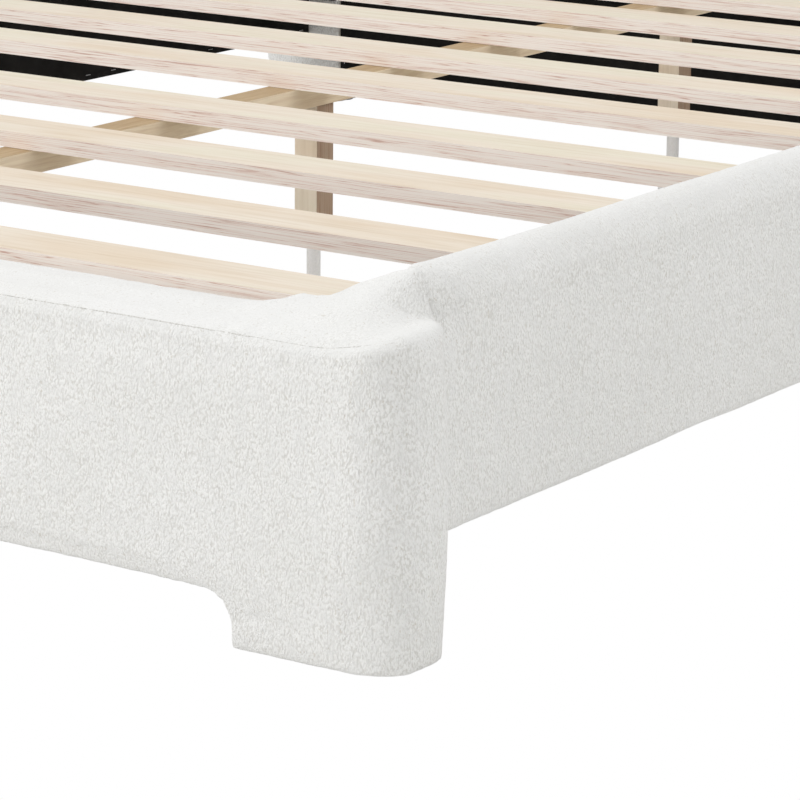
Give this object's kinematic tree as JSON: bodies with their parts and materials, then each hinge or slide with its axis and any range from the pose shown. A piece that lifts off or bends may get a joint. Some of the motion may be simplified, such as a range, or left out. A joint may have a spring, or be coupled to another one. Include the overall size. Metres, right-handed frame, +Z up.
{
  "type": "upholstered bed",
  "caption": "Upholstered bed with a thick padded headboard and footboard, padded side rails, loose plywood slats on steel ledges, and a timber centre beam on legs.",
  "frame": {"origin": "on the floor, at the centre of the bed's footprint", "axes": "+X to the right seen from the foot of the bed, +Y from the foot to the head, +Z up"},
  "size_m": [1.748, 2.252, 1.05],
  "materials": {
    "boucle": "curly woven pile, matte",
    "lining": "black non-woven, matte",
    "timber": "planed softwood, unfinished",
    "plywood": "pale veneer lumber, sanded",
    "black_steel": "black powder coat",
    "zinc": "zinc plated",
    "glide": "moulded black plastic",
    "leg_foot": "moulded white plastic"
  },
  "bodies": {
    "root": {"footboard_cover": "boucle", "footboard_frame": "timber", "footboard_lining": "lining", "headboard_cover": "boucle", "headboard_frame": "timber", "headboard_front_lining": "lining", "headboard_dust_cover": "lining", "side_rail_cover_left": "boucle", "side_rail_cover_right": "boucle", "side_rail_board_left": "timber", "side_rail_board_right": "timber", "side_rail_lining_left": "lining", "side_rail_lining_right": "lining", "slat_ledge_left": "black_steel", "slat_ledge_right": "black_steel", "slat_01": "plywood", "slat_02": "plywood", "slat_03": "plywood", "slat_04": "plywood", "slat_05": "plywood", "slat_06": "plywood", "slat_07": "plywood", "slat_08": "plywood", "slat_09": "plywood", "slat_10": "plywood", "centre_beam": "timber", "beam_hanger_foot": "black_steel", "beam_hanger_head": "black_steel", "centre_leg_1": "timber", "centre_leg_2": "timber", "centre_leg_3": "timber", "centre_leg_stud_1": "zinc", "centre_leg_stud_2": "zinc", "centre_leg_stud_3": "zinc", "centre_leg_foot_1": "leg_foot", "centre_leg_foot_2": "leg_foot", "centre_leg_foot_3": "leg_foot", "corner_bracket_foot_left": "black_steel", "corner_bracket_foot_right": "black_steel", "corner_bracket_head_left": "black_steel", "corner_bracket_head_right": "black_steel", "corner_bolt_foot_left_1": "zinc", "corner_bolt_foot_left_2": "zinc", "corner_bolt_foot_right_1": "zinc", "corner_bolt_foot_right_2": "zinc", "corner_bolt_head_left_1": "zinc", "corner_bolt_head_left_2": "zinc", "corner_bolt_head_right_1": "zinc", "corner_bolt_head_right_2": "zinc", "glide_foot_left": "glide", "glide_foot_right": "glide", "glide_head_left": "glide", "glide_head_right": "glide"}
  },
  "joints": []
}
